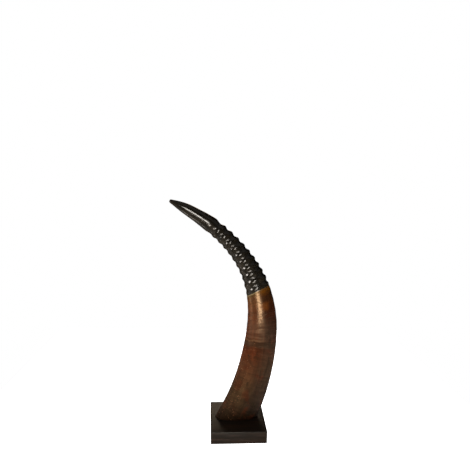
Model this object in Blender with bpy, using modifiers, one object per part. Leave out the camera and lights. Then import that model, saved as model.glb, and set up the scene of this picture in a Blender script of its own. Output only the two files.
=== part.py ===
"""Impala horn standing on a small square plinth.

The horn grew as one piece: a flattened oval foot, a long length with its rings ground away, a stretch
of rings and a smooth pointed tip. Two countersunk wood screws hold it from under the plinth.

World frame: metres, +Z up, origin at the centre of the plinth's underside. The horn leans to +X at
its foot and curls over to -X at its tip; -Y is the front.
"""

import math

import bmesh
import bpy
import numpy as np
from mathutils import Matrix, Vector

MM = 0.001
OBJECT_NAME = "impala_horn"

# Touching pieces are modelled this far apart.
GAP = 0.3 * MM

# Plinth.
PLINTH_SIDE = 100.0 * MM
PLINTH_HEIGHT = 22.5 * MM
PLINTH_EDGE_ROUND = 0.8 * MM

# Horn: the line through its middle, by how far it leans from upright (towards +X) and how far it
# stands back (+Y, in millimetres) at even steps from the foot to the tip.
HORN_LENGTH = 484.8 * MM
FOOT_X = -1.5 * MM
LEAN_DEG = (26.4, 14.8, 4.3, -14.9, -38.1, -54.4, -66.8)
STANDS_BACK_MM = (0.0, 2.5, 7.0, 12.0, 16.0, 17.0, 13.0)
LINE_STEPS = 480

# Horn: half its width (in millimetres), and its depth as a share of its width, at these shares of
# its length.
SECTION_AT = (0.0, 0.15, 0.30, 0.45, 0.60, 0.75, 0.87, 0.95, 1.0)
HALF_WIDTH_MM = (36.1, 33.3, 30.3, 25.6, 18.6, 14.4, 12.7, 8.4, 2.6)
DEPTH_RATIO = (0.46, 0.55, 0.66, 0.76, 0.83, 0.88, 0.90, 0.90, 0.90)
SECTION_SIDES = 36
BROWN_SECTIONS = 17
TIP_SECTIONS = 10
TIP_ROUND = 2.0 * MM
TIP_ROUND_TURNS_DEG = (30.0, 60.0, 80.0)
FOOT_TRIM = 25.0 * MM

# Rings: crests at an even pitch, highest on the outer side of the curl and lowest on the inner
# side, each tilted so that its front sits nearer the tip.
RING_COUNT = 9
FIRST_CREST_AT = 265.5 * MM
RING_PITCH = 14.25 * MM
CREST_OUTER = 1.4 * MM
CREST_INNER = 0.8 * MM
RING_TILT_DEG = 12.0
SECTIONS_PER_RING = 4

# Screws, by their place across the plinth.
SCREW_X = {"screw_left": -14.0 * MM, "screw_right": 22.0 * MM}
SHANK_RADIUS = 2.5 * MM
HEAD_RADIUS = 4.8 * MM
HEAD_RIM = 0.4 * MM
HEAD_CONE = 2.6 * MM
HEAD_SUNK = 1.0 * MM
SCREW_TOP = 46.0 * MM
POINT_LENGTH = 6.0 * MM
POINT_RADIUS = 0.4 * MM
DRIVE_SLOT_WIDTH = 1.2 * MM
DRIVE_SLOT_DEPTH = 1.2 * MM
SCREW_SIDES = 32
MERGE_DISTANCE = 0.001 * MM

# Finishes: base colour (linear), roughness, metallic.
FINISHES = {
    "horn": ((0.055, 0.030, 0.017, 1.0), 0.25, 0.0),
    "plinth": ((0.018, 0.013, 0.009, 1.0), 0.35, 0.0),
    "screw": ((0.45, 0.44, 0.42, 1.0), 0.35, 1.0),
}


def clear_scene():
    """Remove every object, so that the script can be run again."""
    for obj in list(bpy.data.objects):
        bpy.data.objects.remove(obj, do_unlink=True)


def make_collection(name):
    """A new collection in the scene."""
    collection = bpy.data.collections.new(name)
    bpy.context.scene.collection.children.link(collection)
    return collection


def make_material(name):
    """A Principled material from the named finish."""
    colour, roughness, metallic = FINISHES[name]
    material = bpy.data.materials.new(name)
    material.use_nodes = True
    shader = material.node_tree.nodes["Principled BSDF"]
    shader.inputs["Base Color"].default_value = colour
    shader.inputs["Roughness"].default_value = roughness
    shader.inputs["Metallic"].default_value = metallic
    material.diffuse_color = colour
    return material


def mesh_from(bm, name):
    """Turn bm into a mesh and free it."""
    mesh = bpy.data.meshes.new(name)
    bm.to_mesh(mesh)
    bm.free()
    return mesh


def add_object(name, mesh, collection):
    """An object that shows the mesh."""
    obj = bpy.data.objects.new(name, mesh)
    collection.objects.link(obj)
    return obj


def shade_round(mesh, sharp_angle_deg=40.0):
    """Shade the round faces smooth and keep the real edges sharp."""
    mesh.shade_smooth()
    mesh.set_sharp_from_angle(angle=math.radians(sharp_angle_deg))


def cut(obj, cutter):
    """Cut obj with cutter, which stays in the scene as a wire."""
    cutter.display_type = "WIRE"
    cutter.hide_render = True
    modifier = obj.modifiers.new("cut_" + cutter.name, "BOOLEAN")
    modifier.operation = "DIFFERENCE"
    modifier.solver = "EXACT"
    modifier.object = cutter


def ease_through(at, stations, values):
    """Smooth value at each place in `at`, passing through the values at the stations."""
    at = np.asarray(at, dtype=float)
    stations = np.asarray(stations, dtype=float)
    values = np.asarray(values, dtype=float)
    slopes = np.gradient(values, stations)
    left = np.clip(np.searchsorted(stations, at) - 1, 0, len(stations) - 2)
    right = left + 1
    span = stations[right] - stations[left]
    t = (at - stations[left]) / span
    from_left = values[left] * (1 + 2 * t) * (1 - t) ** 2 + slopes[left] * span * t * (1 - t) ** 2
    from_right = values[right] * t * t * (3 - 2 * t) + slopes[right] * span * t * t * (t - 1)
    return from_left + from_right


class HornLine:
    """The line through the horn's middle, by the distance along it from its foot."""

    def __init__(self):
        share = np.linspace(0.0, 1.0, LINE_STEPS + 1)
        even_steps = np.linspace(0.0, 1.0, len(LEAN_DEG))
        lean = np.radians(ease_through(share, even_steps, LEAN_DEG))
        middle_lean = (lean[1:] + lean[:-1]) / 2
        step = HORN_LENGTH / LINE_STEPS
        across = np.concatenate(([0.0], np.cumsum(np.sin(middle_lean) * step)))
        up = np.concatenate(([0.0], np.cumsum(np.cos(middle_lean) * step)))
        back = ease_through(share, even_steps, STANDS_BACK_MM) * MM
        self.distance = share * HORN_LENGTH
        self.axes = (FOOT_X + across, back, PLINTH_HEIGHT + GAP + up)

    def point(self, distance):
        """Point of the line; below the foot it runs on straight."""
        on_line = Vector([float(np.interp(distance, self.distance, axis)) for axis in self.axes])
        if distance < 0.0:
            on_line += self.direction(0.0) * distance
        return on_line

    def direction(self, distance):
        """Which way the horn runs there, as a unit vector towards the tip."""
        step = HORN_LENGTH / LINE_STEPS
        low = min(max(distance - step, 0.0), HORN_LENGTH - 2 * step)
        return (self.point(low + 2 * step) - self.point(low)).normalized()

    def place(self, distance):
        """Matrix of a section: local X to the curl's outer side, Y to the back, Z to the tip."""
        along = self.direction(distance)
        outer = Vector((0.0, 1.0, 0.0)).cross(along).normalized()
        back = along.cross(outer)
        turn = Matrix((outer, back, along)).transposed().to_4x4()
        return Matrix.Translation(self.point(distance)) @ turn


def smooth_section(distance):
    """Half width and half depth of the horn there, with no rings."""
    share = max(distance, 0.0) / HORN_LENGTH
    half_width = float(ease_through(share, SECTION_AT, HALF_WIDTH_MM)) * MM
    return half_width, half_width * float(ease_through(share, SECTION_AT, DEPTH_RATIO))


def section_matrices(line):
    """Matrices that turn a unit circle into each section of the horn, foot to tip."""
    rings_start = FIRST_CREST_AT - RING_PITCH / 2
    rings_end = rings_start + RING_COUNT * RING_PITCH
    tip_start = HORN_LENGTH - TIP_ROUND
    matrices = []

    for distance in np.linspace(-FOOT_TRIM, rings_start, BROWN_SECTIONS + 1)[:-1]:
        half_width, half_depth = smooth_section(distance)
        matrices.append(line.place(distance) @ Matrix.Diagonal((half_width, half_depth, 1.0, 1.0)))

    for distance in np.linspace(rings_start, rings_end, RING_COUNT * SECTIONS_PER_RING + 1):
        half_width, half_depth = smooth_section(distance)
        wave = -math.cos((distance - rings_start) / RING_PITCH * math.tau)
        rise = (CREST_OUTER + CREST_INNER) / 2 * wave
        to_outer = Matrix.Translation(((CREST_OUTER - CREST_INNER) / 2 * wave, 0.0, 0.0))
        tilt = Matrix.Rotation(-math.radians(RING_TILT_DEG), 4, "X")
        size = Matrix.Diagonal((half_width + rise, half_depth + rise, 1.0, 1.0))
        matrices.append(line.place(distance) @ to_outer @ tilt @ size)

    for distance in np.linspace(rings_end, tip_start, TIP_SECTIONS + 1)[1:]:
        half_width, half_depth = smooth_section(distance)
        matrices.append(line.place(distance) @ Matrix.Diagonal((half_width, half_depth, 1.0, 1.0)))

    half_width, half_depth = smooth_section(tip_start)
    for turn in map(math.radians, TIP_ROUND_TURNS_DEG):
        size = Matrix.Diagonal((half_width * math.cos(turn), half_depth * math.cos(turn), 1.0, 1.0))
        matrices.append(line.place(tip_start + TIP_ROUND * math.sin(turn)) @ size)
    return matrices


def make_horn(collection):
    """Bridge the horn's sections, then trim its foot level with the plinth's top."""
    bm = bmesh.new()
    loops = []
    for matrix in section_matrices(HornLine()):
        circle = bmesh.ops.create_circle(
            bm, cap_ends=False, radius=1.0, segments=SECTION_SIDES, matrix=matrix
        )
        loops.append({edge for vert in circle["verts"] for edge in vert.link_edges})
    for lower, upper in zip(loops, loops[1:]):
        bmesh.ops.bridge_loops(bm, edges=list(lower | upper))
    bmesh.ops.holes_fill(bm, edges=list(loops[-1]), sides=SECTION_SIDES)

    foot = bmesh.ops.bisect_plane(
        bm,
        geom=list(bm.verts) + list(bm.edges) + list(bm.faces),
        plane_co=(0.0, 0.0, PLINTH_HEIGHT + GAP),
        plane_no=(0.0, 0.0, 1.0),
        clear_inner=True,
    )
    foot_edges = [item for item in foot["geom_cut"] if isinstance(item, bmesh.types.BMEdge)]
    bmesh.ops.holes_fill(bm, edges=foot_edges)
    bmesh.ops.recalc_face_normals(bm, faces=bm.faces)

    mesh = mesh_from(bm, "horn")
    shade_round(mesh)
    mesh.materials.append(make_material("horn"))
    return add_object("horn", mesh, collection)


def make_plinth(collection):
    """A square block with softened edges."""
    bm = bmesh.new()
    size = Matrix.Diagonal((PLINTH_SIDE, PLINTH_SIDE, PLINTH_HEIGHT, 1.0))
    bmesh.ops.create_cube(bm, size=1.0, matrix=Matrix.Translation((0.0, 0.0, PLINTH_HEIGHT / 2)) @ size)
    mesh = mesh_from(bm, "plinth")
    mesh.materials.append(make_material("plinth"))
    plinth = add_object("plinth", mesh, collection)
    rounding = plinth.modifiers.new("edge_round", "BEVEL")
    rounding.width = PLINTH_EDGE_ROUND
    rounding.segments = 3
    return plinth


def turned_mesh(name, outline):
    """Mesh of an outline of (radius, height) points, top to bottom."""
    bm = bmesh.new()
    verts = [bm.verts.new((radius, 0.0, height)) for radius, height in outline]
    for upper, lower in zip(verts, verts[1:]):
        bm.edges.new((upper, lower))
    return mesh_from(bm, name)


def turn_round(obj):
    """Turn the object's outline once about its Z axis."""
    turning = obj.modifiers.new("turned", "SCREW")
    turning.steps = SCREW_SIDES
    turning.render_steps = SCREW_SIDES
    turning.use_merge_vertices = True
    turning.merge_threshold = MERGE_DISTANCE
    turning.use_smooth_shade = False


def screw_outline(grow, lowest):
    """Half outline of a screw, or of the hole that it fits with `grow` all round."""
    cone_top = HEAD_SUNK + HEAD_RIM + HEAD_CONE
    return (
        (0.0, SCREW_TOP + grow),
        (POINT_RADIUS + grow, SCREW_TOP + grow),
        (SHANK_RADIUS + grow, SCREW_TOP - POINT_LENGTH + grow),
        (SHANK_RADIUS + grow, cone_top + grow / 2),
        (HEAD_RADIUS + grow, HEAD_SUNK + HEAD_RIM + grow / 2),
        (HEAD_RADIUS + grow, lowest),
        (0.0, lowest),
    )


def slot_mesh():
    """The box that cuts a screw's drive slot."""
    bm = bmesh.new()
    size = Matrix.Diagonal((3 * HEAD_RADIUS, DRIVE_SLOT_WIDTH, 2 * DRIVE_SLOT_DEPTH, 1.0))
    bmesh.ops.create_cube(bm, size=1.0, matrix=Matrix.Translation((0.0, 0.0, HEAD_SUNK)) @ size)
    return mesh_from(bm, "drive_slot")


def make_screws(collection, cutters, held):
    """The screws, with the holes that they need in each held piece."""
    screw_mesh = turned_mesh("screw", screw_outline(0.0, HEAD_SUNK))
    screw_mesh.materials.append(make_material("screw"))
    hole_mesh = turned_mesh("screw_hole", screw_outline(GAP, -HEAD_SUNK))
    drive_slot = slot_mesh()
    for name, place_x in SCREW_X.items():
        screw = add_object(name, screw_mesh, collection)
        hole = add_object(name + "_hole", hole_mesh, cutters)
        slot = add_object(name + "_slot", drive_slot, cutters)
        for obj in (screw, hole, slot):
            obj.location.x = place_x
        turn_round(screw)
        turn_round(hole)
        cut(screw, slot)
        for piece in held:
            cut(piece, hole)


def main():
    """Build the horn on its plinth."""
    clear_scene()
    parts = make_collection(OBJECT_NAME)
    cutters = make_collection("cutters")
    plinth = make_plinth(parts)
    horn = make_horn(parts)
    make_screws(parts, cutters, held=(plinth, horn))


main()
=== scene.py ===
"""Looks of a mounted impala horn: a polished, curled horn standing on a small ebonised plinth.

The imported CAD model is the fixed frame. The horn and its plinth are modelled again here in finer
detail, and the two screws keep their CAD meshes. Metres, +Z up, -Y is the front.
"""

from __future__ import annotations

import logging
import math
from dataclasses import dataclass, field, replace
from enum import Enum
from functools import partial
from typing import Any

import bpy
import numpy as np
from mathutils import Matrix, Vector

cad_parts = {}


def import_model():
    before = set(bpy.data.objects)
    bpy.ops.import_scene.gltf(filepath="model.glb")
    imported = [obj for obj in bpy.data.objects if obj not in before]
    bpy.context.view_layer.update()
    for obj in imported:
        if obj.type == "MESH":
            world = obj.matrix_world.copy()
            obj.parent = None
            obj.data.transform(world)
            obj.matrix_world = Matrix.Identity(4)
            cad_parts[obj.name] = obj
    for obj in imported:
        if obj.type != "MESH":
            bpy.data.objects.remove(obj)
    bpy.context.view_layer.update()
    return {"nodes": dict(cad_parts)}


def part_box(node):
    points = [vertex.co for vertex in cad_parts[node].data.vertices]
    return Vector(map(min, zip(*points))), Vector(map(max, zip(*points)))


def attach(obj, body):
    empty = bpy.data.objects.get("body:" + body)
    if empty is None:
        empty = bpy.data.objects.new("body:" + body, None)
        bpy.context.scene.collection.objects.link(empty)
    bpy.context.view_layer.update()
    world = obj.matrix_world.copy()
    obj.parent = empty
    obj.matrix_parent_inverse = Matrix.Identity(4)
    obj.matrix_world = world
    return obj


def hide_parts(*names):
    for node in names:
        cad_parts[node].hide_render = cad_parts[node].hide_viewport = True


LOG = logging.getLogger("mounted_horn")

Piece = bpy.types.Object
Material = bpy.types.Material
NodeTree = bpy.types.NodeTree
Node = bpy.types.Node
Socket = bpy.types.NodeSocket
Row = tuple[float, ...]
Stops = tuple[tuple[float, str], ...]

MM = 0.001
SMALLEST_TURN = 1e-6


# ---- small tools


def srgb(hex_colour: str) -> tuple[float, float, float, float]:
    """Turn an sRGB hex colour into linear light.

    Args:
        hex_colour: Six hex digits, such as "2A1C12".

    Returns:
        Linear red, green and blue, and a full alpha.
    """
    linear = []
    for start in (0, 2, 4):
        value = int(hex_colour[start : start + 2], 16) / 255.0
        linear.append(value / 12.92 if value <= 0.04045 else ((value + 0.055) / 1.055) ** 2.4)
    return (linear[0], linear[1], linear[2], 1.0)


def ease_through(at: Any, stations: Any, values: Any) -> np.ndarray:
    """Read a smooth curve that passes through the given values.

    Args:
        at: Where to read it.
        stations: Places of the values, rising.
        values: The value at each station.

    Returns:
        The curve's value at each place.
    """
    at = np.asarray(at, dtype=float)
    stations = np.asarray(stations, dtype=float)
    values = np.asarray(values, dtype=float)
    slopes = np.gradient(values, stations)
    left = np.clip(np.searchsorted(stations, at) - 1, 0, len(stations) - 2)
    right = left + 1
    span = stations[right] - stations[left]
    t = (at - stations[left]) / span
    from_left = values[left] * (1 + 2 * t) * (1 - t) ** 2 + slopes[left] * span * t * (1 - t) ** 2
    from_right = values[right] * t * t * (3 - 2 * t) + slopes[right] * span * t * t * (t - 1)
    return from_left + from_right


def roll_between(at: float, stations: Row, values: Row) -> float:
    """Read a curve that rolls level at every value, as a row of rounded crests and valleys does.

    Args:
        at: Where to read it.
        stations: Places of the values, rising.
        values: The value at each station; the end values hold beyond the ends.

    Returns:
        The curve's value.
    """
    if at <= stations[0]:
        return values[0]
    for start, end, low, high in zip(stations, stations[1:], values, values[1:]):
        if at < end:
            share = 0.5 - 0.5 * math.cos(math.pi * (at - start) / (end - start))
            return low + (high - low) * share
    return values[-1]


def make_active(piece: Piece) -> None:
    """Select one piece alone and make it active.

    Args:
        piece: The piece.
    """
    if bpy.context.object and bpy.context.object.mode != "OBJECT":
        bpy.ops.object.mode_set(mode="OBJECT")
    bpy.ops.object.select_all(action="DESELECT")
    piece.select_set(True)
    bpy.context.view_layer.objects.active = piece


def new_piece(name: str) -> Piece:
    """Name the primitive that was just added, and its mesh.

    Args:
        name: The new name.

    Returns:
        The primitive.
    """
    piece = bpy.context.object
    piece.name = name
    piece.data.name = name
    return piece


def apply_modifiers(piece: Piece) -> None:
    """Apply the piece's modifiers in their order.

    Args:
        piece: The piece.
    """
    make_active(piece)
    for modifier in list(piece.modifiers):
        bpy.ops.object.modifier_apply(modifier=modifier.name)


def settle_place(piece: Piece) -> None:
    """Move the piece's place, turn and scale into its mesh."""
    make_active(piece)
    bpy.ops.object.transform_apply(location=True, rotation=True, scale=True)


def cut_with(piece: Piece, cutters: list[Piece]) -> None:
    """Cut holes in a piece.

    Args:
        piece: The piece to cut.
        cutters: Closed shapes that are taken away from it.
    """
    for cutter in cutters:
        hole = piece.modifiers.new("hole", "BOOLEAN")
        hole.operation = "DIFFERENCE"
        hole.solver = "EXACT"
        hole.object = cutter
    apply_modifiers(piece)


# ---- material tools

# Map Range inputs: 0 the value, 1 and 2 the range it comes from, 3 and 4 the range it goes to.
EASED = {"interpolation_type": "SMOOTHSTEP"}
# Mix inputs: 0 the share, 6 and 7 the two colours.
BLEND = {"data_type": "RGBA", "blend_type": "MIX"}
SHADE = {"data_type": "RGBA", "blend_type": "MULTIPLY"}
MIXED = 2
ALL_OVER = 1.0
# Math inputs: 0, 1 and 2 in the order that the operation names them.
ADD = {"operation": "ADD"}
SUBTRACT = {"operation": "SUBTRACT"}
MULTIPLY = {"operation": "MULTIPLY"}
DIVIDE = {"operation": "DIVIDE"}
ABSOLUTE = {"operation": "ABSOLUTE"}
MULTIPLY_ADD = {"operation": "MULTIPLY_ADD"}
# Length of one wave of a wave texture whose scale is 1.
WAVE_LENGTH = 0.314


def add_node(
    tree: NodeTree,
    kind: str,
    settings: dict[str, Any],
    links: dict[int | str, Any],
    result: int | str = 0,
) -> Socket:
    """Add one node to a material.

    Args:
        tree: The material's node tree.
        kind: The node's type name, without its "ShaderNode" start.
        settings: Values of the node's own properties; "stops" lists a ramp's places and hex colours.
        links: Input name or number, with a value or with the output that feeds it.
        result: Name or number of the output to give back.

    Returns:
        That output.
    """
    node = tree.nodes.new("ShaderNode" + kind)
    for name, value in settings.items():
        if name != "stops":
            setattr(node, name, value)
            continue
        while len(node.color_ramp.elements) < len(value):
            node.color_ramp.elements.new(1.0)
        for element, (place, colour) in zip(node.color_ramp.elements, value):
            element.position = place
            element.color = srgb(colour)
    for name, source in links.items():
        if isinstance(source, Socket):
            tree.links.new(source, node.inputs[name])
        else:
            node.inputs[name].default_value = source
    return node.outputs[result]


@dataclass(frozen=True)
class Grain:
    """Natural unevenness, in blobs of a real size along each axis, in the unit of its place."""

    size: tuple[float, float, float]
    detail: float = 3.0
    pull: float = 0.0

    def spread(self, tree: NodeTree, place: Socket) -> Socket:
        """Spread the unevenness over a piece.

        Args:
            tree: The material's node tree.
            place: Where on the piece, as a vector.

        Returns:
            A value of about 0.3 to 0.7.
        """
        add = partial(add_node, tree)
        finer = tuple(1.0 / length for length in self.size)
        sized = add("Mapping", {}, {"Vector": place, "Scale": finer})
        return add(
            "TexNoise",
            {},
            {"Vector": sized, "Scale": 1.0, "Detail": self.detail, "Distortion": self.pull},
        )


def start_material(name: str) -> tuple[Material, Node]:
    """Make an empty material.

    Args:
        name: The material's name.

    Returns:
        The material and its Principled shader node.
    """
    material = bpy.data.materials.new(name)
    material.use_nodes = True
    return material, material.node_tree.nodes["Principled BSDF"]


# ---- finishes


@dataclass(frozen=True)
class Stain:
    """A stained zone on the front of the ground horn, in millimetres below the cut of the rings."""

    below_cut: float
    reach: float
    strength: float
    colour: str
    outer_end: float


@dataclass(frozen=True)
class GroundHorn:
    """Impala horn with its rings ground away, then sanded and oiled to a soft polish.

    Horn is keratin, an amber-brown translucent fibre laid down in sheaths. Grinding cuts through the
    sheaths, so the eye gets fine lengthwise fibres, darker growth bands across them, a warm golden edge
    where the ringed skin stops, and a broad silky highlight. All lengths are in millimetres, and are
    read from the attribute "grown": towards the outer side, towards the back, and along the horn.
    """

    name: str = "ground_horn"
    cut_line: float = 247.2
    ior: float = 1.55
    roughness: float = 0.25
    foot_roughness: float = 0.80
    polished_from: float = 128.0
    polished_to: float = 212.0
    gloss: float = 0.8
    gloss_tint: str = "FFDDB4"
    foot_tint: str = "553A22"
    fibre: Grain = Grain((1.3, 1.3, 46.0), 4.0, 0.2)
    streak: Grain = Grain((8.0, 8.0, 55.0), 2.0, 1.0)
    band: Grain = Grain((40.0, 40.0, 5.5), 3.0, 1.2)
    patch: Grain = Grain((15.0, 15.0, 26.0), 2.0, 0.6)
    fleck: Grain = Grain((3.2, 3.2, 2.4), 1.0)
    # Where each grain is darkest and lightest, and the shade it gives there.
    streak_shade: Row = (0.36, 0.64, 0.84, 1.16)
    band_shade: Row = (0.38, 0.62, 0.86, 1.13)
    fibre_shade: Row = (0.32, 0.68, 0.93, 1.07)
    # How far the patches bend the border of the two sides, the dark ring and the golden edge.
    side_bend: float = 16.0
    ring_bend: float = 12.0
    edge_bend: float = 14.0
    # How far the bands and the patches bend the start of the polish.
    polish_bends: tuple[float, float] = (70.0, 40.0)
    dark_ring_at: float = 149.0
    # How far above the dark ring the painted highlight line runs.
    ring_glint_above: float = 7.0
    flecks_from: float = 165.0
    flecks_full: float = 150.0
    line_from: float = 3.4
    line_full: float = 1.2
    step_length: float = 7.0
    thin_sheath: str = "5A2814"
    thick_sheath: str = "33291B"
    dark_ring: str = "33271A"
    ring_glint: str = "8A6444"
    # Colour of the painted highlight line above the dark ring.
    nick: str = "8F6243"
    # Colours of the thin pale line at the cut, inner and outer side, partly a painted highlight.
    amber: tuple[str, str] = ("5E4520", "965812")
    pale_line_and_glint: tuple[str, str] = ("A08B63", "8A6338")
    stains: tuple[Stain, ...] = (
        Stain(18.0, 7.0, 0.40, "38281A", 40.0),
        Stain(31.0, 9.0, 0.55, "9A5218", 8.0),
    )
    # Colour stops from the foot to the cut line, for the inner and the outer side. The lowest stops
    # darken towards the foot as painted shade where the horn stands on the plinth. The outer stops are
    # darker than the inner ones, partly painted shade from light falling on the inner side.
    inner_colours_and_shade: Stops = (
        (0.00, "2F2116"),
        (0.05, "3E2B1D"),
        (0.13, "463321"),
        (0.23, "4F3823"),
        (0.42, "5E3822"),
        (0.54, "622E17"),
        (0.61, "512913"),
        (0.70, "65351E"),
        (0.86, "6D3A1E"),
        (1.00, "784D27"),
    )
    outer_colours_and_shade: Stops = (
        (0.00, "201810"),
        (0.05, "251D14"),
        (0.13, "2D221A"),
        (0.23, "37281D"),
        (0.42, "402D1E"),
        (0.54, "4A3020"),
        (0.61, "482D1F"),
        (0.70, "462C20"),
        (0.86, "532A18"),
        (1.00, "6D3E18"),
    )

    def make(self) -> Material:
        """Make the material.

        Returns:
            The ground horn material.
        """
        material, shader = start_material(self.name)
        tree = material.node_tree
        add = partial(add_node, tree)
        grown = add("Attribute", {"attribute_name": "grown"}, {}, "Vector")
        fibre = self.fibre.spread(tree, grown)
        band = self.band.spread(tree, grown)
        tree.links.new(self.colour(tree, grown, fibre, band), shader.inputs["Base Color"])
        polish = self.polish(tree, grown, band)
        ends = {3: self.foot_roughness - 0.07, 4: self.roughness - 0.07}
        dull = add("MapRange", {}, {0: polish, **ends})
        dull = add("Math", MULTIPLY_ADD, {0: fibre, 1: 0.14, 2: dull})
        tree.links.new(dull, shader.inputs["Roughness"])
        tints = {6: srgb(self.foot_tint), 7: srgb(self.gloss_tint)}
        tint = add("Mix", BLEND, {0: polish, **tints}, MIXED)
        tree.links.new(tint, shader.inputs["Specular Tint"])
        tree.links.new(self.relief(tree, grown, fibre, band), shader.inputs["Normal"])
        shader.inputs["IOR"].default_value = self.ior
        shader.inputs["Specular IOR Level"].default_value = self.gloss
        return material

    def colour(self, tree: NodeTree, grown: Socket, fibre: Socket, band: Socket) -> Socket:
        """Colour the horn.

        Ranges are in millimetres, and those of the grains run between about 0.3 and 0.7.

        Args:
            tree: The material's node tree.
            grown: Where on the straight horn.
            fibre: The fibres along the horn.
            band: The growth bands across it.

        Returns:
            The colour.
        """
        add = partial(add_node, tree)
        outer = add("SeparateXYZ", {}, {0: grown})
        along = outer.node.outputs[2]
        patch = self.patch.spread(tree, grown)

        # Red-brown on the inner side of the curl, olive-brown on the outer side. The outer side is also
        # darker, partly painted shade, and both sides darken towards the foot as painted shade.
        share = add("Math", DIVIDE, {0: along, 1: self.cut_line})
        inner_colour = add("ValToRGB", {"stops": self.inner_colours_and_shade}, {0: share})
        outer_colour = add("ValToRGB", {"stops": self.outer_colours_and_shade}, {0: share})
        bend = add("Math", MULTIPLY_ADD, {0: patch, 1: self.side_bend, 2: -self.side_bend / 2})
        side = add("Math", ADD, {0: outer, 1: bend})
        side = add("MapRange", EASED, {0: side, 1: -14.0, 2: 12.0})
        colour = add("Mix", BLEND, {0: side, 6: inner_colour, 7: outer_colour}, MIXED)

        # Patches: redder where the sheath is thin, olive where it is thick.
        red = add("MapRange", EASED, {0: patch, 1: 0.54, 2: 0.70, 4: 0.45})
        colour = add("Mix", BLEND, {0: red, 6: colour, 7: srgb(self.thin_sheath)}, MIXED)
        olive = add("MapRange", EASED, {0: patch, 1: 0.46, 2: 0.32, 4: 0.5})
        colour = add("Mix", BLEND, {0: olive, 6: colour, 7: srgb(self.thick_sheath)}, MIXED)

        # Broad streaks, growth bands, and fibres drawn a little coarse so that they show.
        streak = self.streak.spread(tree, grown)
        for pattern, shades in (
            (streak, self.streak_shade),
            (band, self.band_shade),
            (fibre, self.fibre_shade),
        ):
            shade = add("MapRange", EASED, {0: pattern, **dict(enumerate(shades, 1))})
            colour = add("Mix", SHADE, {0: ALL_OVER, 6: colour, 7: shade}, MIXED)

        # The strongest band, a dark olive ring. Above it at the front runs a pale line, a painted
        # highlight on the lit edge of the ridge there.
        bend = add("Math", MULTIPLY_ADD, {0: patch, 1: self.ring_bend, 2: -self.ring_bend / 2})
        bent = add("Math", ADD, {0: along, 1: bend})
        ring = add("Math", SUBTRACT, {0: bent, 1: self.dark_ring_at})
        ring = add("Math", ABSOLUTE, {0: ring})
        ring = add("MapRange", EASED, {0: ring, 1: 7.0, 2: 3.0, 4: 0.5})
        colour = add("Mix", BLEND, {0: ring, 6: colour, 7: srgb(self.dark_ring)}, MIXED)
        edge = add("Math", SUBTRACT, {0: bent, 1: self.dark_ring_at + self.ring_glint_above})
        edge = add("Math", ABSOLUTE, {0: edge})
        edge = add("MapRange", EASED, {0: edge, 1: 2.4, 2: 0.6, 4: 0.35})
        front = add("MapRange", EASED, {0: outer, 1: 10.0, 2: -2.0})
        edge = add("Math", MULTIPLY, {0: edge, 1: front})
        colour = add("Mix", BLEND, {0: edge, 6: colour, 7: srgb(self.ring_glint)}, MIXED)

        # Pale flecks below the ring, where the grinding nicked the inner side.
        fleck = self.fleck.spread(tree, grown)
        fleck = add("MapRange", EASED, {0: fleck, 1: 0.66, 2: 0.72, 4: 0.6})
        inside = add("MapRange", EASED, {0: outer, 1: -6.0, 2: -14.0})
        below = add("MapRange", EASED, {0: along, 1: self.flecks_from, 2: self.flecks_full})
        for limit in (inside, below):
            fleck = add("Math", MULTIPLY, {0: fleck, 1: limit})
        colour = add("Mix", BLEND, {0: fleck, 6: colour, 7: srgb(self.nick)}, MIXED)
        return self.golden_edge(tree, colour, outer, along, patch)

    def golden_edge(
        self, tree: NodeTree, colour: Socket, outer: Socket, along: Socket, patch: Socket
    ) -> Socket:
        """Colour the cut edge of the ringed skin: an amber glow that ends in a thin pale line, partly
        the edge's own colour and partly a painted highlight.

        Args:
            tree: The material's node tree.
            colour: The colour of the rest.
            outer: Distance towards the outer side.
            along: Distance along the horn.
            patch: The patches, which make the glow uneven.

        Returns:
            The colour with its edge.
        """
        add = partial(add_node, tree)
        uneven = add("Math", MULTIPLY_ADD, {0: patch, 1: self.edge_bend, 2: -self.edge_bend / 2})
        uneven = add("Math", ADD, {0: along, 1: uneven})
        depth = add("Math", SUBTRACT, {0: self.cut_line, 1: uneven})
        shorter = add("MapRange", EASED, {0: outer, 1: 4.0, 2: -14.0, 4: 4.5})
        depth = add("Math", ADD, {0: depth, 1: shorter})
        glow = add("MapRange", EASED, {0: depth, 1: 13.0, 2: 4.0, 4: 0.85})
        side = add("MapRange", EASED, {0: outer, 1: -12.0, 2: 10.0})
        inner, outside = (srgb(shade) for shade in self.amber)
        amber = add("Mix", BLEND, {0: side, 6: inner, 7: outside}, MIXED)
        colour = add("Mix", BLEND, {0: glow, 6: colour, 7: amber}, MIXED)

        # Below the glow a dark band, and an amber patch on the front.
        for stain in self.stains:
            off = add("Math", SUBTRACT, {0: uneven, 1: self.cut_line - stain.below_cut})
            off = add("Math", ABSOLUTE, {0: off})
            share = add("MapRange", EASED, {0: off, 1: stain.reach, 2: 2.0, 4: stain.strength})
            start = add("MapRange", EASED, {0: outer, 1: -6.0, 2: 4.0})
            end = add("MapRange", EASED, {0: outer, 1: stain.outer_end + 8.0, 2: stain.outer_end})
            for limit in (start, end):
                share = add("Math", MULTIPLY, {0: share, 1: limit})
            colour = add("Mix", BLEND, {0: share, 6: colour, 7: srgb(stain.colour)}, MIXED)

        # The thin pale line at the cut is partly the edge's own colour and partly a painted highlight,
        # paler on the inner side where the light falls.
        start, full = self.cut_line - self.line_from, self.cut_line - self.line_full
        line = add("MapRange", EASED, {0: along, 1: start, 2: full, 4: 0.9})
        inner, outside = (srgb(shade) for shade in self.pale_line_and_glint)
        pale = add("Mix", BLEND, {0: side, 6: inner, 7: outside}, MIXED)
        return add("Mix", BLEND, {0: line, 6: colour, 7: pale}, MIXED)

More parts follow.
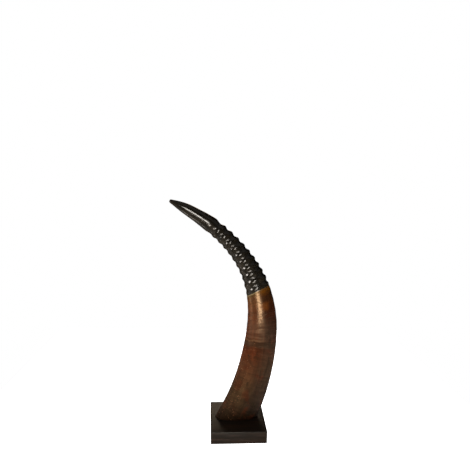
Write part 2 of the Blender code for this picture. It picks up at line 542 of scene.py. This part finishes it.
    def polish(self, tree: NodeTree, grown: Socket, band: Socket) -> Socket:
        """Polish the upper part; below it the polish breaks up along the growth bands.

        Args:
            tree: The material's node tree.
            grown: Where on the straight horn.
            band: The growth bands across it.

        Returns:
            How polished the surface is, from 0 to 1.
        """
        add = partial(add_node, tree)
        along = add("SeparateXYZ", {}, {0: grown}, 2)
        patch = self.patch.spread(tree, grown)
        for uneven, reach in zip((band, patch), self.polish_bends):
            bend = add("Math", MULTIPLY_ADD, {0: uneven, 1: reach, 2: -0.5 * reach})
            along = add("Math", ADD, {0: along, 1: bend})
        ends = {1: self.polished_from, 2: self.polished_to}
        return add("MapRange", EASED, {0: along, **ends})

    def relief(self, tree: NodeTree, grown: Socket, fibre: Socket, band: Socket) -> Socket:
        """Raise the fibres and the low steps across the horn, left where the rings were ground away.

        Args:
            tree: The material's node tree.
            grown: Where on the straight horn.
            fibre: The fibres along the horn.
            band: The growth bands across it.

        Returns:
            The bumped normal.
        """
        add = partial(add_node, tree)
        wide = add("Mapping", {}, {"Vector": grown, "Scale": (0.25, 0.25, 1.0)})
        steps = add(
            "TexWave",
            {"wave_type": "BANDS", "bands_direction": "Z", "wave_profile": "SAW"},
            {"Vector": wide, "Scale": WAVE_LENGTH / self.step_length, "Distortion": 3.0, "Detail": 2.0},
            "Fac",
        )
        height = add("Math", MULTIPLY, {0: band, 1: 0.35})
        height = add("Math", MULTIPLY_ADD, {0: fibre, 1: 0.08, 2: height})
        height = add("Math", MULTIPLY_ADD, {0: steps, 1: 0.30, 2: height})
        return add("Bump", {}, {"Strength": 0.5, "Distance": 1.0 * MM, "Height": height})


@dataclass(frozen=True)
class PolishedRings:
    """The natural black skin of the horn, left ringed and buffed to a gloss.

    Dense dark keratin, nearly black. Buffing reaches the crests and the tip, which mirror the lamps in
    sharp lines and dots, and leaves the valleys duller with fine lengthwise scratches.
    """

    name: str = "polished_black_horn"
    ior: float = 1.55
    crest_roughness: float = 0.155
    valley_roughness: float = 0.24
    scratch: Grain = Grain((0.7, 0.7, 16.0))
    cloud: Grain = Grain((9.0, 9.0, 22.0), 3.0, 0.5)
    dark: str = "26221B"
    light: str = "383127"
    worn: str = "41382B"

    def make(self) -> Material:
        """Make the material.

        Returns:
            The black horn material, which reads the attributes "grown" and "crest".
        """
        material, shader = start_material(self.name)
        tree = material.node_tree
        add = partial(add_node, tree)
        grown = add("Attribute", {"attribute_name": "grown"}, {}, "Vector")
        crest = add("Attribute", {"attribute_name": "crest"}, {}, "Fac")
        cloud = self.cloud.spread(tree, grown)
        scratch = self.scratch.spread(tree, grown)

        share = add("MapRange", EASED, {0: cloud, 1: 0.35, 2: 0.65})
        colour = add("Mix", BLEND, {0: share, 6: srgb(self.dark), 7: srgb(self.light)}, MIXED)
        worn = add("MapRange", EASED, {0: scratch, 1: 0.60, 2: 0.75, 4: 0.5})
        colour = add("Mix", BLEND, {0: worn, 6: colour, 7: srgb(self.worn)}, MIXED)
        tree.links.new(colour, shader.inputs["Base Color"])

        duller = {1: 0.0, 2: 0.75, 3: self.valley_roughness, 4: self.crest_roughness}
        dull = add("MapRange", EASED, {0: crest, **duller})
        dull = add("Math", SUBTRACT, {0: dull, 1: 0.03})
        dull = add("Math", MULTIPLY_ADD, {0: scratch, 1: 0.06, 2: dull})
        tree.links.new(dull, shader.inputs["Roughness"])
        shader.inputs["IOR"].default_value = self.ior

        height = add("Math", MULTIPLY, {0: cloud, 1: 0.05})
        height = add("Math", MULTIPLY_ADD, {0: scratch, 1: 0.008, 2: height})
        bump = add("Bump", {}, {"Strength": 0.4, "Distance": 1.0 * MM, "Height": height})
        tree.links.new(bump, shader.inputs["Normal"])
        return material


@dataclass(frozen=True)
class EbonisedWood:
    """Close-grained hardwood, stained black-brown and waxed.

    Stain sinks deeper into the soft grain, so fine lines of warm brown show through the black, and wax
    gives a low satin sheen.
    """

    name: str = "ebonised_wood"
    ior: float = 1.48
    roughness: float = 0.42
    grain: Grain = Grain((55.0 * MM, 1.6 * MM, 1.6 * MM), 4.0, 0.3)
    figure: Grain = Grain((90.0 * MM, 9.0 * MM, 9.0 * MM), 2.0, 1.2)
    dark: str = "1D140B"
    light: str = "2C1C0D"
    line: str = "3A2417"

    def make(self) -> Material:
        """Make the material.

        Returns:
            The wood material, which reads Object coordinates.
        """
        material, shader = start_material(self.name)
        tree = material.node_tree
        add = partial(add_node, tree)
        place = add("TexCoord", {}, {}, "Object")
        grain = self.grain.spread(tree, place)
        figure = self.figure.spread(tree, place)

        share = add("MapRange", EASED, {0: figure, 1: 0.35, 2: 0.65})
        colour = add("Mix", BLEND, {0: share, 6: srgb(self.dark), 7: srgb(self.light)}, MIXED)
        lines = add("MapRange", EASED, {0: grain, 1: 0.52, 2: 0.66, 4: 0.6})
        colour = add("Mix", BLEND, {0: lines, 6: colour, 7: srgb(self.line)}, MIXED)
        tree.links.new(colour, shader.inputs["Base Color"])

        dull = add("Math", MULTIPLY_ADD, {0: grain, 1: 0.22, 2: self.roughness - 0.11})
        tree.links.new(dull, shader.inputs["Roughness"])
        shader.inputs["IOR"].default_value = self.ior
        bump = add("Bump", {}, {"Strength": 0.35, "Distance": 0.3 * MM, "Height": grain})
        tree.links.new(bump, shader.inputs["Normal"])
        return material


@dataclass(frozen=True)
class TurnedSteel:
    """Bright zinc-plated steel wood screw, turned on a lathe.

    The tool leaves fine rings round the head, which spread the shine into a soft band.
    """

    name: str = "screw_steel"
    roughness: float = 0.32
    tool_mark: float = 1.57 * MM
    spots: Grain = Grain((4.0 * MM, 4.0 * MM, 4.0 * MM))
    bright: str = "B9B8B2"
    dulled: str = "97948B"

    def make(self, middle_x: float) -> Material:
        """Make the material for one screw.

        Args:
            middle_x: Where the screw's axis is, across the plinth.

        Returns:
            The steel material.
        """
        material, shader = start_material(self.name)
        tree = material.node_tree
        add = partial(add_node, tree)
        place = add("TexCoord", {}, {}, "Object")
        centred = add("Mapping", {}, {"Vector": place, "Location": (-middle_x, 0.0, 0.0)})
        marks = add(
            "TexWave",
            {"wave_type": "RINGS", "rings_direction": "Z"},
            {"Vector": centred, "Scale": WAVE_LENGTH / self.tool_mark, "Distortion": 0.6},
            "Fac",
        )
        spots = self.spots.spread(tree, place)
        share = add("MapRange", EASED, {0: spots, 1: 0.4, 2: 0.65})
        colour = add("Mix", BLEND, {0: share, 6: srgb(self.bright), 7: srgb(self.dulled)}, MIXED)
        tree.links.new(colour, shader.inputs["Base Color"])
        dull = add("Math", MULTIPLY_ADD, {0: marks, 1: 0.12, 2: self.roughness - 0.06})
        tree.links.new(dull, shader.inputs["Roughness"])
        shader.inputs["Metallic"].default_value = 1.0
        bump = add("Bump", {}, {"Strength": 0.2, "Distance": 0.05 * MM, "Height": marks})
        tree.links.new(bump, shader.inputs["Normal"])
        return material


@dataclass(frozen=True)
class OpalAcrylic:
    """Opal white acrylic sheet, lit from below, as on a product table.

    The light inside it leaves it plain white, with no shadow.
    """

    name: str = "opal_acrylic"
    glow: float = 2.0

    def make(self) -> Material:
        """Make the material.

        Returns:
            The sheet's material.
        """
        material, shader = start_material(self.name)
        shader.inputs["Base Color"].default_value = srgb("F4F3F1")
        shader.inputs["Roughness"].default_value = 0.7
        shader.inputs["Emission Color"].default_value = srgb("FFFFFF")
        shader.inputs["Emission Strength"].default_value = self.glow
        return material


# ---- the horn


class HornSkin(Enum):
    """The horn's two skins, by their material slot."""

    GROUND = 0
    RINGED = 1


@dataclass(frozen=True)
class HornLine:
    """The line through the middle of the horn, which gives the straight horn its curl.

    It lies flat while the horn is modelled: its X is the plinth's X, its Y is height, and the front
    of the horn faces up.
    """

    length: float = 484.8 * MM
    foot_x: float = -1.5 * MM
    lean_deg: Row = (26.4, 14.8, 4.3, -14.9, -38.1, -54.4, -66.8)
    stands_back_mm: Row = (0.0, 2.5, 7.0, 12.0, 16.0, 17.0, 13.0)
    run_out: float = 32.0 * MM
    step_count: int = 240

    def points(self, foot_z: float) -> list[Vector]:
        """Points of the flat line, run on straight past the foot and the tip.

        Args:
            foot_z: Height of the horn's foot.

        Returns:
            Points from before the foot to past the tip.
        """
        share = np.linspace(0.0, 1.0, self.step_count + 1)
        even = np.linspace(0.0, 1.0, len(self.lean_deg))
        lean = np.radians(ease_through(share, even, self.lean_deg))
        middle = (lean[1:] + lean[:-1]) / 2
        step = self.length / self.step_count
        x = self.foot_x + np.concatenate(([0.0], np.cumsum(np.sin(middle) * step)))
        up = foot_z + np.concatenate(([0.0], np.cumsum(np.cos(middle) * step)))
        back = ease_through(share, even, self.stands_back_mm) * MM
        line = [Vector(p) for p in zip(x.tolist(), up.tolist(), (-back).tolist())]
        before = line[0] + (line[0] - line[1]).normalized() * self.run_out
        after = line[-1] + (line[-1] - line[-2]).normalized() * self.run_out
        return [before, *line, after]

    def guide(self, foot_z: float) -> Piece:
        """Draw the flat line as a curve.

        Args:
            foot_z: Height of the horn's foot.

        Returns:
            The curve object.
        """
        points = self.points(foot_z)
        data = bpy.data.curves.new("horn_line", "CURVE")
        data.dimensions = "3D"
        data.twist_mode = "Z_UP"
        spline = data.splines.new("POLY")
        spline.points.add(len(points) - 1)
        for spot, point in zip(spline.points, points):
            spot.co = (*point, 1.0)
        guide = bpy.data.objects.new("horn_line", data)
        bpy.context.scene.collection.objects.link(guide)
        return guide


@dataclass(frozen=True)
class Section:
    """One section of the straight horn."""

    along: float
    half_width: float
    half_depth: float
    to_outer: float
    tilt: float
    slant: float
    crest: float


@dataclass
class Horn:
    """The horn: the long length ground smooth above its flat foot, the rings and the smooth tip.

    Rings are given by where each crest and valley crosses the middle line. They are highest on the
    outer side of the curl. Their planes tilt, so that the front sits nearer the tip, and slant from
    one side of the curl to the other.
    """

    foot_z: float
    line: HornLine = field(default_factory=HornLine)
    section_at: Row = (0.0, 0.15, 0.30, 0.45, 0.60, 0.75, 0.87, 0.95, 1.0)
    half_width_mm: Row = (36.1, 33.3, 30.3, 25.6, 18.6, 14.4, 12.7, 8.4, 2.6)
    depth_ratio: Row = (0.46, 0.55, 0.66, 0.76, 0.83, 0.88, 0.90, 0.90, 0.90)
    sides: int = 128
    trim: float = 25.0 * MM
    cut_line: float = 247.2 * MM
    cut_step: float = 0.3 * MM
    # The ground part swells to meet the rings between these distances before the cut, and has low
    # ripples, which start past the foot.
    cut_swell: tuple[float, float] = (26.0 * MM, 2.0 * MM)
    ripple_height: float = 0.14 * MM
    ripple_pace: float = 2.9 * MM
    ripples_start: tuple[float, float] = (120.0 * MM, 200.0 * MM)
    ripples_grow: tuple[float, float] = (0.3, 1.0)
    # The skin's lip above the cut, as shares of the rings' rise.
    lip_at_mm: Row = (247.7, 251.5)
    lip_share: Row = (-0.2, 0.45)
    valley_at_mm: Row = (258.0, 273.0, 286.5, 299.5, 314.0, 328.0, 343.0, 356.9, 372.5, 388.0)
    crest_at_mm: Row = (265.5, 279.5, 292.5, 306.5, 321.0, 335.3, 349.8, 364.5, 379.5)
    crest_share: Row = (0.90, 0.85, 1.0, 0.92, 1.0, 0.95, 1.05, 1.05, 1.0)
    rise_outer: float = 1.3 * MM
    rise_inner: float = 0.85 * MM
    # The smooth tip starts slightly swollen on the outer side, and then draws in.
    swell_at_mm: Row = (399.0, 416.0, 430.0, 456.0)
    swell_outer: Row = (0.80, 0.0, -0.42, 0.0)
    swell_inner: Row = (0.50, 0.0, -0.10, 0.0)
    tip_shines_from: float = 394.0 * MM
    tilt_at_mm: Row = (110.0, 236.0, 385.0, 440.0)
    tilt_deg: Row = (0.0, 12.0, 12.0, 0.0)
    slant_at_mm: Row = (110.0, 247.0, 267.0, 281.0, 306.0, 335.0, 380.0, 440.0)
    slant_deg: Row = (0.0, 9.5, 3.5, 0.0, -6.0, -9.0, -7.0, 0.0)
    tip_round: float = 2.0 * MM
    tip_turns_deg: Row = (22.0, 42.0, 60.0, 75.0)
    tip_short: float = 0.4 * MM
    # How close the sections are on the ground part, where they are by the cut, and how many the
    # rings and the tip have. The ringed skin starts a little before the cut.
    ground_step: float = 2.5 * MM
    by_cut: Row = (-1.5 * MM, -0.8 * MM, -0.2 * MM, 0.2 * MM, 1.0 * MM)
    skin_before_cut: float = 0.25 * MM
    ring_sections: int = 160
    rings_end: float = 402.0 * MM
    tip_sections: int = 34
    crease_deg: float = 50.0

    def relief(self) -> tuple[Row, Row, Row]:
        """List the ring relief.

        Returns:
            Places along the horn, and the rise on the outer and the inner side at each.
        """
        rings = [(valley, -1.0) for valley in self.valley_at_mm]
        rings += zip(self.crest_at_mm, self.crest_share)
        ring_at, ring_share = zip(*sorted(rings))
        at = tuple(place * MM for place in (*self.lip_at_mm, *ring_at, *self.swell_at_mm))
        start = (*self.lip_share, *ring_share)
        outer = tuple(share * self.rise_outer for share in (*start, *self.swell_outer))
        inner = tuple(share * self.rise_inner for share in (*start, *self.swell_inner))
        return at, outer, inner

    def section(self, along: float) -> Section:
        """Shape the horn at one place.

        Args:
            along: Distance from the foot.

        Returns:
            The section there.
        """
        share = min(max(along, 0.0) / self.line.length, 1.0)
        width = float(ease_through(share, self.section_at, self.half_width_mm)) * MM
        depth = width * float(ease_through(share, self.section_at, self.depth_ratio))
        rise, to_outer, crest = -self.cut_step, 0.0, 1.0
        if along > self.cut_line:
            at, outer, inner = self.relief()
            outer_rise = roll_between(along, at, outer)
            inner_rise = roll_between(along, at, inner)
            rise = (outer_rise + inner_rise) / 2
            to_outer = (outer_rise - inner_rise) / 2
            crest = min(1.0, 0.5 + 0.5 * outer_rise / self.rise_outer)
            if along > self.tip_shines_from:
                crest = 1.0
        else:
            swell_at = tuple(self.cut_line - before for before in self.cut_swell)
            rise += self.cut_step * roll_between(along, swell_at, (0.0, 1.0))
            ripple = self.ripple_height * math.sin(along / self.ripple_pace)
            rise += ripple * roll_between(along, self.ripples_start, self.ripples_grow)
        tilt = roll_between(along / MM, self.tilt_at_mm, self.tilt_deg)
        slant = roll_between(along / MM, self.slant_at_mm, self.slant_deg)
        turns = (math.radians(tilt), math.radians(slant))
        return Section(along, width + rise, depth + rise, to_outer, *turns, crest)

    def sections(self) -> list[Section]:
        """List the sections from foot to tip, close together where the rings are.

        Returns:
            The sections; the last ones round the tip.
        """
        tip_start = self.line.length - self.tip_short - self.tip_round
        ground_end, *by_cut, rings_start = (self.cut_line + offset for offset in self.by_cut)
        places = [
            *np.arange(-self.trim, ground_end, self.ground_step).tolist(),
            *by_cut,
            *np.linspace(rings_start, self.rings_end, self.ring_sections).tolist(),
            *np.linspace(self.rings_end, tip_start, self.tip_sections)[1:].tolist(),
        ]
        sections = [self.section(along) for along in places]
        end = sections[-1]
        for turn in (math.radians(degrees) for degrees in self.tip_turns_deg):
            rounded = replace(
                end,
                along=end.along + self.tip_round * math.sin(turn),
                half_width=end.half_width * math.cos(turn),
                half_depth=end.half_depth * math.cos(turn),
            )
            sections.append(rounded)
        return sections

    def extrude_straight(self, sections: list[Section]) -> Piece:
        """Model the horn lying straight along X, its front up and the outer side of its curl at -Y.

        Args:
            sections: The sections, foot to tip.

        Returns:
            The straight horn.
        """
        start = self.line.run_out
        first = sections[0]
        bpy.ops.object.select_all(action="DESELECT")
        bpy.ops.mesh.primitive_circle_add(
            vertices=self.sides,
            radius=1.0,
            location=(0.0, 0.0, 0.0),
            rotation=(0.0, math.pi / 2, 0.0),
        )
        horn = new_piece("horn_body")
        settle_place(horn)
        bpy.ops.object.mode_set(mode="EDIT")
        bpy.ops.mesh.select_all(action="SELECT")
        size = (1.0, first.half_width, first.half_depth)
        bpy.ops.transform.resize(value=size, center_override=(0.0, 0.0, 0.0))
        bpy.ops.transform.translate(value=(start + first.along, 0.0, 0.0))
        for before, after in zip(sections, sections[1:]):
            centre = (start + after.along, -after.to_outer, 0.0)
            shift = (after.along - before.along, before.to_outer - after.to_outer, 0.0)
            bpy.ops.mesh.extrude_region_move(TRANSFORM_OT_translate={"value": shift})
            wide = after.half_width / before.half_width
            deep = after.half_depth / before.half_depth
            bpy.ops.transform.resize(value=(deep, wide, deep), center_override=centre)
            for axis, turn in (("Y", after.tilt - before.tilt), ("Z", after.slant - before.slant)):
                if abs(turn) > SMALLEST_TURN:
                    bpy.ops.transform.rotate(value=-turn, orient_axis=axis, center_override=centre)
        last_turn = math.radians(self.tip_turns_deg[-1])
        to_point = (self.tip_round * (1.0 - math.sin(last_turn)), 0.0, 0.0)
        bpy.ops.mesh.extrude_region_move(TRANSFORM_OT_translate={"value": to_point})
        bpy.ops.mesh.merge(type="CENTER")
        bpy.ops.object.mode_set(mode="OBJECT")
        return horn

    def note_growth(self, horn: Piece, sections: list[Section]) -> None:
        """Keep each point's place on the straight horn, for the patterns that follow the growth.

        Args:
            horn: The straight horn.
            sections: Its sections, foot to tip.
        """
        count = len(horn.data.vertices)
        spots = np.empty(count * 3)
        horn.data.vertices.foreach_get("co", spots)
        spots = spots.reshape(-1, 3)
        row = np.minimum(np.arange(count) // self.sides, len(sections) - 1)
        along = np.array([section.along for section in sections])[row]
        crests = np.array([section.crest for section in sections])[row]
        places = np.stack((-spots[:, 1], -spots[:, 2], along), axis=1) / MM
        grown = horn.data.attributes.new("grown", "FLOAT_VECTOR", "POINT")
        grown.data.foreach_set("vector", places.ravel())
        crest = horn.data.attributes.new("crest", "FLOAT", "POINT")
        crest.data.foreach_set("value", crests)

    def assign_skins(self, horn: Piece, sections: list[Section]) -> None:
        """Give the faces below the cut line the ground skin and the others the ringed skin.

        Args:
            horn: The straight horn.
            sections: Its sections, foot to tip.
        """
        horn.data.materials.append(GroundHorn(cut_line=self.cut_line / MM).make())
        horn.data.materials.append(PolishedRings().make())
        for face in horn.data.polygons:
            row = min(corner // self.sides for corner in face.vertices)
            ringed = sections[min(row, len(sections) - 1)].along >= self.cut_line - self.skin_before_cut
            face.material_index = (HornSkin.RINGED if ringed else HornSkin.GROUND).value

    def curl(self, horn: Piece) -> None:
        """Bend the straight horn along its line, and stand it up.

        Args:
            horn: The straight horn.
        """
        guide = self.line.guide(self.foot_z)
        bending = horn.modifiers.new("curl", "CURVE")
        bending.object = guide
        bending.deform_axis = "POS_X"
        apply_modifiers(horn)
        bpy.data.objects.remove(guide, do_unlink=True)
        horn.rotation_euler = (math.pi / 2, 0.0, 0.0)
        settle_place(horn)

    def trim_foot(self, horn: Piece) -> None:
        """Saw the foot off level, and close it.

        Args:
            horn: The standing horn.
        """
        make_active(horn)
        bpy.ops.object.mode_set(mode="EDIT")
        bpy.ops.mesh.select_all(action="SELECT")
        bpy.ops.mesh.bisect(
            plane_co=(0.0, 0.0, self.foot_z),
            plane_no=(0.0, 0.0, 1.0),
            use_fill=True,
            clear_inner=True,
        )
        bpy.ops.mesh.select_all(action="SELECT")
        bpy.ops.mesh.normals_make_consistent(inside=False)
        bpy.ops.object.mode_set(mode="OBJECT")

    def build(self, screw_holes: list[Piece]) -> Piece:
        """Model and dress the horn.

        Args:
            screw_holes: Shapes of the screw holes, which are cut from its foot.

        Returns:
            The horn.
        """
        sections = self.sections()
        horn = self.extrude_straight(sections)
        self.note_growth(horn, sections)
        self.assign_skins(horn, sections)
        self.curl(horn)
        self.trim_foot(horn)
        cut_with(horn, screw_holes)
        make_active(horn)
        bpy.ops.object.shade_smooth_by_angle(angle=math.radians(self.crease_deg))
        return horn


# ---- plinth, screws


@dataclass
class Plinth:
    """A square block of ebonised wood with softened edges, drilled from below for the screws."""

    low: Vector
    high: Vector
    edge_round: float = 0.9 * MM
    edge_steps: int = 4
    crease_deg: float = 40.0

    def build(self, screw_holes: list[Piece]) -> Piece:
        """Model and dress the plinth.

        Args:
            screw_holes: Shapes of the screw holes.

        Returns:
            The plinth.
        """
        size = self.high - self.low
        bpy.ops.object.select_all(action="DESELECT")
        bpy.ops.mesh.primitive_cube_add(size=1.0, location=(self.low + self.high) / 2)
        plinth = new_piece("plinth_block")
        plinth.scale = size
        settle_place(plinth)
        bpy.ops.object.mode_set(mode="EDIT")
        bpy.ops.mesh.select_all(action="SELECT")
        bpy.ops.mesh.bevel(offset=self.edge_round, segments=self.edge_steps, affect="EDGES")
        bpy.ops.object.mode_set(mode="OBJECT")
        plinth.data.materials.append(EbonisedWood().make())
        cut_with(plinth, screw_holes)
        make_active(plinth)
        bpy.ops.object.shade_smooth_by_angle(angle=math.radians(self.crease_deg))
        return plinth


@dataclass
class Screws:
    """The two wood screws, which keep their CAD meshes, and the holes they sit in."""

    names: tuple[str, ...] = ("screw_left", "screw_right")
    clearance: float = 0.3 * MM
    shank_radius: float = 2.5 * MM
    head_rim: float = 0.4 * MM
    head_cone: float = 2.6 * MM
    start_below: float = 1.0 * MM
    sides: int = 48

    def holes(self) -> list[Piece]:
        """Model the shape of each screw's hole.

        Returns:
            One closed shape for each screw, from below the plinth to above the screw's point.
        """
        shapes = []
        for name in self.names:
            low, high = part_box(name)
            middle = (low + high) / 2
            head_radius = (high.x - low.x) / 2 + self.clearance
            bpy.ops.object.select_all(action="DESELECT")
            bpy.ops.mesh.primitive_circle_add(
                vertices=self.sides,
                radius=head_radius,
                location=(middle.x, middle.y, -self.start_below),
                fill_type="NGON",
            )
            shape = new_piece(name + "_hole")
            settle_place(shape)
            bpy.ops.object.mode_set(mode="EDIT")
            bpy.ops.mesh.select_all(action="SELECT")
            rim_top = low.z + self.head_rim + self.clearance / 2
            centre = (middle.x, middle.y, 0.0)
            taper = (self.shank_radius + self.clearance) / head_radius
            for rise, narrow in (
                (rim_top + self.start_below, 1.0),
                (self.head_cone, taper),
                (high.z + self.clearance - rim_top - self.head_cone, 1.0),
            ):
                bpy.ops.mesh.extrude_region_move(TRANSFORM_OT_translate={"value": (0.0, 0.0, rise)})
                bpy.ops.transform.resize(value=(narrow, narrow, 1.0), center_override=centre)
            bpy.ops.mesh.select_all(action="SELECT")
            bpy.ops.mesh.normals_make_consistent(inside=False)
            bpy.ops.object.mode_set(mode="OBJECT")
            shapes.append(shape)
        return shapes

    def dress(self, nodes: dict[str, Piece]) -> None:
        """Give each screw its steel.

        Args:
            nodes: The CAD nodes by name.
        """
        for name in self.names:
            low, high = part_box(name)
            screw = nodes[name]
            steel = TurnedSteel().make((low.x + high.x) / 2)
            if not screw.material_slots:
                screw.data.materials.append(steel)
            for slot in screw.material_slots:
                slot.material = steel


# ---- the studio


class Reach(Enum):
    """What a lamp does: it lights surfaces, it shows as a highlight on polished ones, or both."""

    BOTH = "both"
    FILL = "fill"
    SHINE = "shine"


@dataclass(frozen=True)
class Softbox:
    """A rectangular lamp that faces the horn."""

    name: str
    azimuth_deg: float
    elevation_deg: float
    distance: float
    width: float
    height: float
    brightness: float
    colour: str = "FFFFFF"
    reach: Reach = Reach.BOTH


@dataclass
class Studio:
    """A glowing white table in white surroundings, softboxes, and the camera.

    The table gives the horn most of its light, and so leaves its foot's shadow black. The front
    softboxes only shine on the polish: the upper one on the tip and the rings, the lower one on the
    brown part. Those at the left give the thin second highlight and light the left edges.
    """

    aim: Vector
    camera_at: tuple[float, float, float] = (-0.06247, -0.70090, 0.45907)
    camera_down_deg: float = 7.5167
    camera_right_deg: float = 4.0037
    camera_roll_deg: float = 1.5151
    lens_mm: float = 30.64
    table_size: float = 1.0
    softboxes: tuple[Softbox, ...] = (
        Softbox("upper_front", -6.0, 18.5, 0.90, 0.23, 0.24, 17.0, "FFF8EE", Reach.SHINE),
        Softbox("lower_front", -1.5, -9.5, 0.88, 0.33, 0.24, 12.5, "FFF4E6", Reach.SHINE),
        Softbox("left_box", -64.0, 16.0, 1.1, 0.26, 0.26, 20.0, "FFF6EC", Reach.SHINE),
        Softbox("side_low", -80.0, -30.0, 0.38, 0.04, 0.06, 8.0, "FFF4E6", Reach.SHINE),
        Softbox("left_wall", -72.0, 10.0, 1.5, 1.2, 1.2, 0.26, "FFF8F0"),
        Softbox("left_table", -80.0, -33.0, 0.36, 0.40, 0.60, 0.22, "FFFFFF", Reach.SHINE),
        Softbox("right_wall", 70.0, 36.0, 1.2, 1.0, 0.9, 0.13, "FFFFFF", Reach.SHINE),
        Softbox("left_fill", -60.0, 16.0, 1.2, 0.5, 0.5, 3.6, "FFF6EC", Reach.FILL),
        Softbox("front_fill", -10.0, 5.0, 1.2, 0.6, 0.5, 0.4, "FFF8F0", Reach.FILL),
        Softbox("back_sheen", 180.0, 21.0, 1.5, 0.6, 0.45, 2.2, "FFE6C8"),
        Softbox("overhead", 0.0, 80.0, 1.5, 1.5, 1.5, 0.2, "FFF8F0"),
        Softbox("back_fill", 150.0, 30.0, 1.6, 1.0, 1.0, 0.7, "FFFFFF", Reach.FILL),
    )

    def build(self) -> None:
        """Set the floor, the surroundings, the lamps and the camera."""
        bpy.ops.object.select_all(action="DESELECT")
        bpy.ops.mesh.primitive_plane_add(size=self.table_size, location=(0.0, 0.0, 0.0))
        floor = new_piece("floor")
        settle_place(floor)
        floor.data.materials.append(OpalAcrylic().make())
        floor.visible_glossy = False

        world = bpy.data.worlds.new("white_surroundings")
        bpy.context.scene.world = world
        world.use_nodes = True
        background = world.node_tree.nodes["Background"]
        background.inputs["Color"].default_value = srgb("FFFFFF")
        background.inputs["Strength"].default_value = 1.0
        world.cycles_visibility.glossy = False
        world.cycles_visibility.diffuse = False

        for box in self.softboxes:
            self.hang(box)
        self.place_camera()
        bpy.context.scene.view_settings.view_transform = "Standard"

    def hang(self, box: Softbox) -> None:
        """Hang one softbox, turned to face the horn.

        Args:
            box: The softbox; its brightness is the radiance of its front.
        """
        azimuth, elevation = math.radians(box.azimuth_deg), math.radians(box.elevation_deg)
        out = Vector(
            (
                math.sin(azimuth) * math.cos(elevation),
                -math.cos(azimuth) * math.cos(elevation),
                math.sin(elevation),
            )
        )
        data = bpy.data.lights.new(box.name, "AREA")
        data.shape = "RECTANGLE"
        data.size = box.width
        data.size_y = box.height
        data.energy = box.brightness * math.pi * box.width * box.height
        data.color = srgb(box.colour)[:3]
        lamp = bpy.data.objects.new(box.name, data)
        lamp.location = self.aim + out * box.distance
        lamp.rotation_euler = out.to_track_quat("Z", "Y").to_euler()
        lamp.visible_camera = False
        lamp.visible_glossy = box.reach is not Reach.FILL
        lamp.visible_diffuse = box.reach is not Reach.SHINE
        bpy.context.scene.collection.objects.link(lamp)

    def place_camera(self) -> None:
        """Set up the camera, which stands close, a little above the middle of the horn."""
        data = bpy.data.cameras.new("camera")
        data.sensor_width = 36.0
        data.lens = self.lens_mm
        data.clip_start = 0.01
        camera = bpy.data.objects.new("camera", data)
        turn = (
            Matrix.Rotation(math.radians(-self.camera_right_deg), 4, "Z")
            @ Matrix.Rotation(math.radians(90.0 - self.camera_down_deg), 4, "X")
            @ Matrix.Rotation(math.radians(self.camera_roll_deg), 4, "Z")
        )
        camera.matrix_world = Matrix.Translation(self.camera_at) @ turn
        bpy.context.scene.collection.objects.link(camera)
        bpy.context.scene.camera = camera


# ---- main


def main() -> None:
    """Build the mounted horn around its CAD frame, and light it."""
    logging.basicConfig(level=logging.INFO, format="%(message)s")
    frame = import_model()

    screws = Screws()
    holes = screws.holes()
    screws.dress(frame["nodes"])
    LOG.info("screws dressed: %s", ", ".join(screws.names))

    plinth = Plinth(*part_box("plinth")).build(holes)
    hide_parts("plinth")
    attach(plinth, "root")
    LOG.info("plinth: %d faces", len(plinth.data.polygons))

    low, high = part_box("horn")
    horn = Horn(foot_z=low.z).build(holes)
    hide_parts("horn")
    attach(horn, "root")
    LOG.info("horn: %d faces", len(horn.data.polygons))

    for hole in holes:
        bpy.data.objects.remove(hole, do_unlink=True)
    Studio(aim=(low + high) / 2).build()
    LOG.info("studio: %d lamps", len(Studio.softboxes))


if __name__ == "__main__":
    main()
